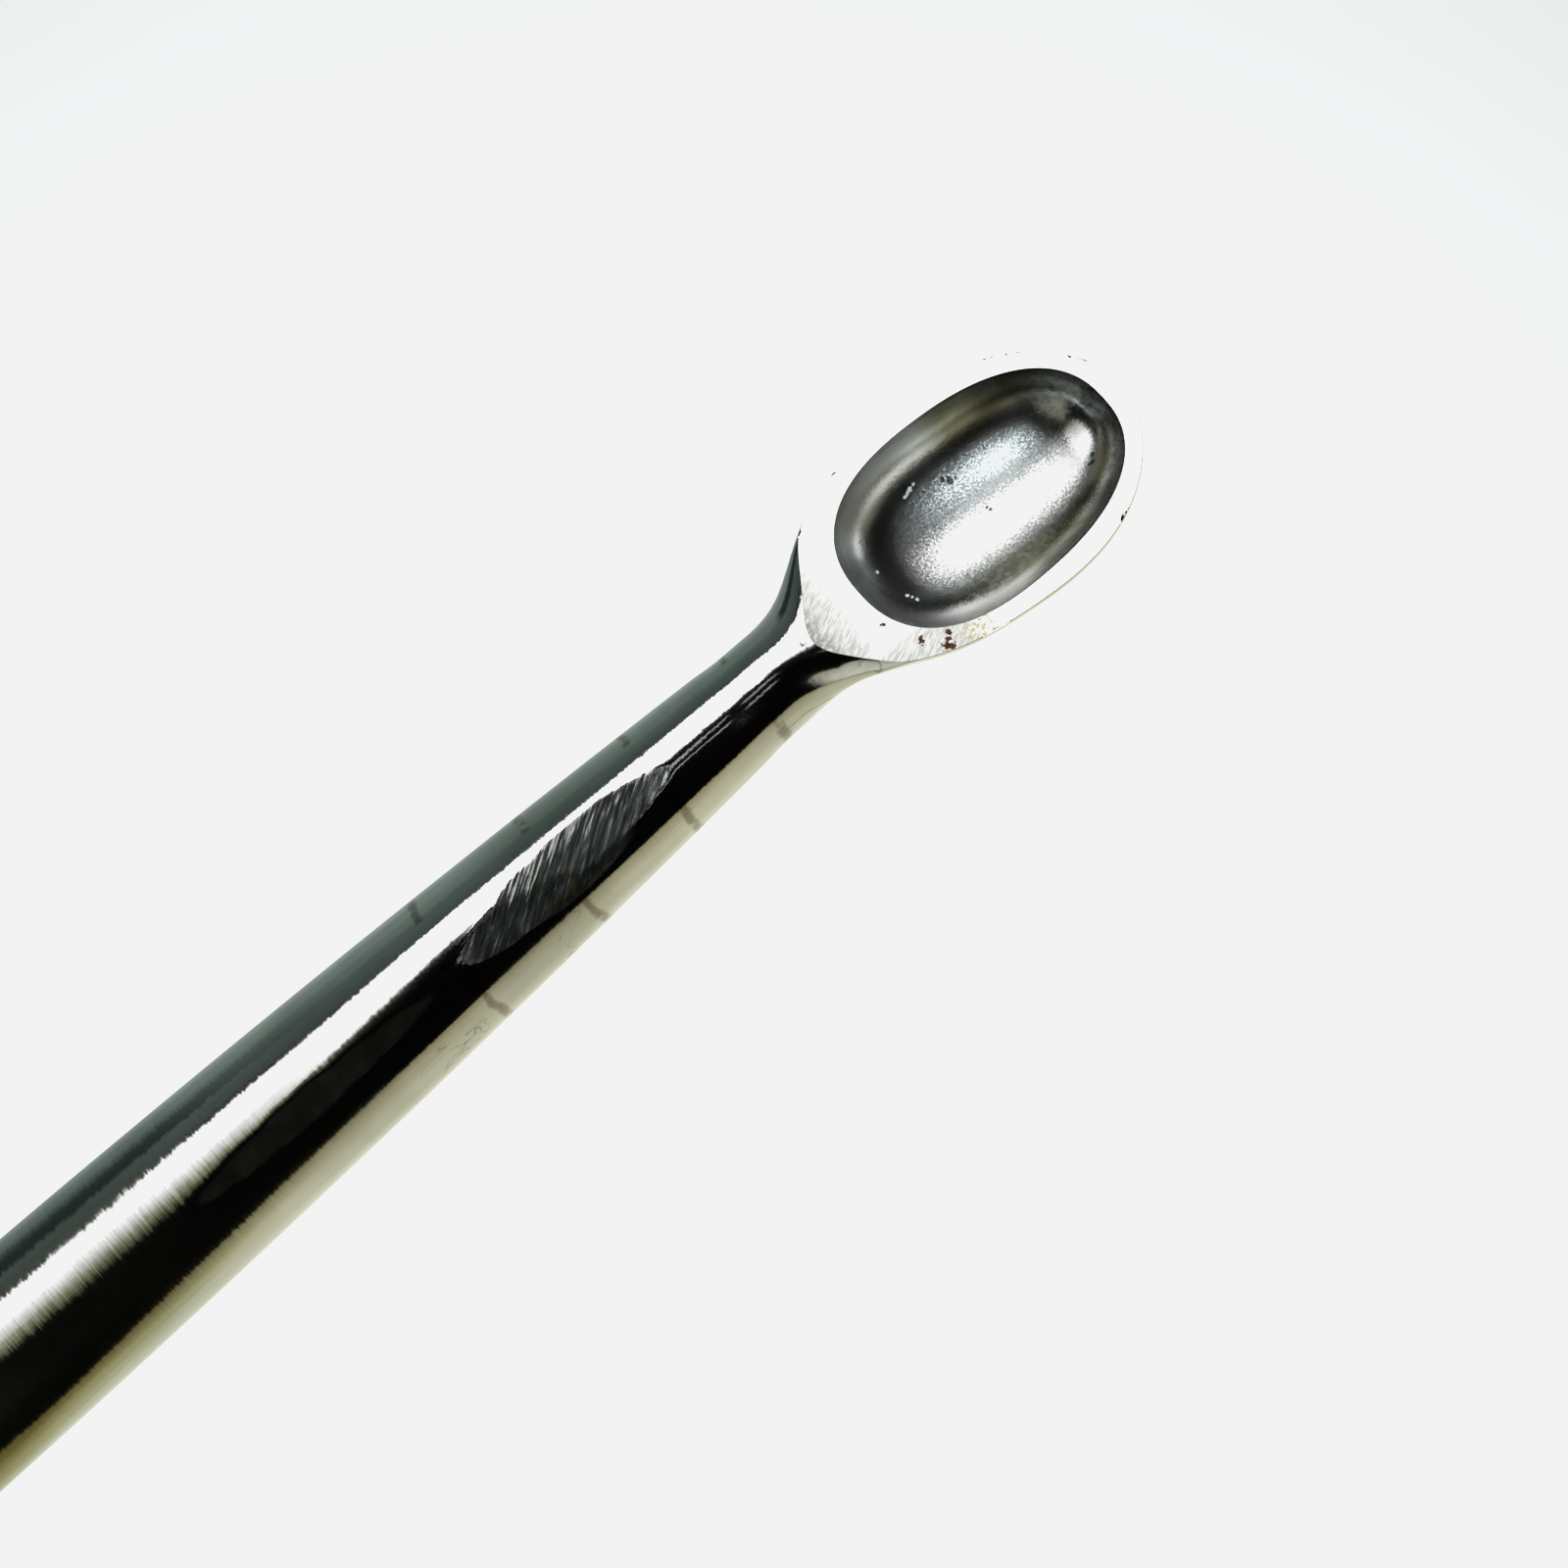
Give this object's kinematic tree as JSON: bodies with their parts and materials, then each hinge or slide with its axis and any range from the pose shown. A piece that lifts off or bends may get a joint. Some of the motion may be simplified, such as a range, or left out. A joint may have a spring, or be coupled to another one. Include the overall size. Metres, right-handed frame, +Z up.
{
  "type": "spoon curette",
  "caption": "Straight steel curette with an oval sharp-rimmed cup on a narrow neck, a smooth tapering shank and a hollow octagonal handle, for scooping and scraping samples.",
  "frame": {"origin": "middle of the length and width, on the surface that the handle's bottom flat lies on", "axes": "+X along the instrument towards the cup's tip, +Z up, the way the cup opens"},
  "size_m": [0.17, 0.0106, 0.01],
  "materials": {
    "ground_steel": "hand-ground and polished stainless steel, fine scratches, light stains",
    "turned_steel": "turned and polished",
    "satin_steel": "satin, brushed lengthwise",
    "pin_steel": "drawn rod",
    "bush_steel": "as turned",
    "silver_braze": "silver brazing alloy, filed flush"
  },
  "bodies": {
    "root": {"collar_braze_band": "silver_braze", "cross_pin": "pin_steel", "cup_shank": "ground_steel", "front_braze_ring": "silver_braze", "front_collar": "turned_steel", "handle_shell_bottom": "satin_steel", "handle_shell_top": "satin_steel", "plug_braze_band": "silver_braze", "rear_plug": "turned_steel", "seam_braze_strips": "silver_braze", "tang_bush": "bush_steel"}
  },
  "joints": []
}
